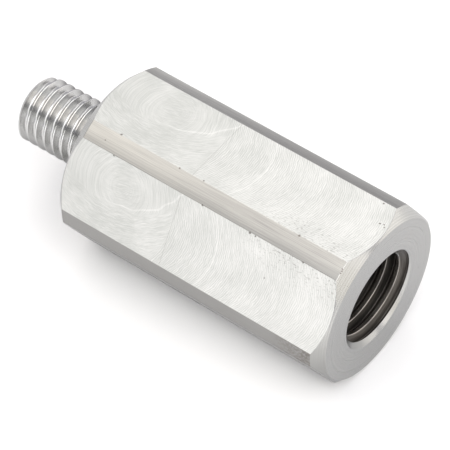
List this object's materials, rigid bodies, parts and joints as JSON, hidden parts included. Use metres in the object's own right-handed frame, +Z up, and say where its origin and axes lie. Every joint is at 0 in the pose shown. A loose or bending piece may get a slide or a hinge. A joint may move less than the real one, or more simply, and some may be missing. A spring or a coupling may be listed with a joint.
{
  "type": "hex adapter",
  "caption": "Hexagonal steel thread adapter with a threaded stud at one end and a tapped blind hole at the other, chamfered at both ends.",
  "frame": {"origin": "on the axis at the shoulder, where the stud leaves the body", "axes": "+X along the axis from the shoulder to the tapped end, +Z up, square to the flat that faces up; the part lies on the opposite flat"},
  "size_m": [0.0751, 0.0348, 0.0318],
  "materials": {
    "stainless_steel": "bare stainless steel, turned ends and milled flats"
  },
  "bodies": {
    "root": {"hex_adapter": "stainless_steel"}
  },
  "joints": []
}
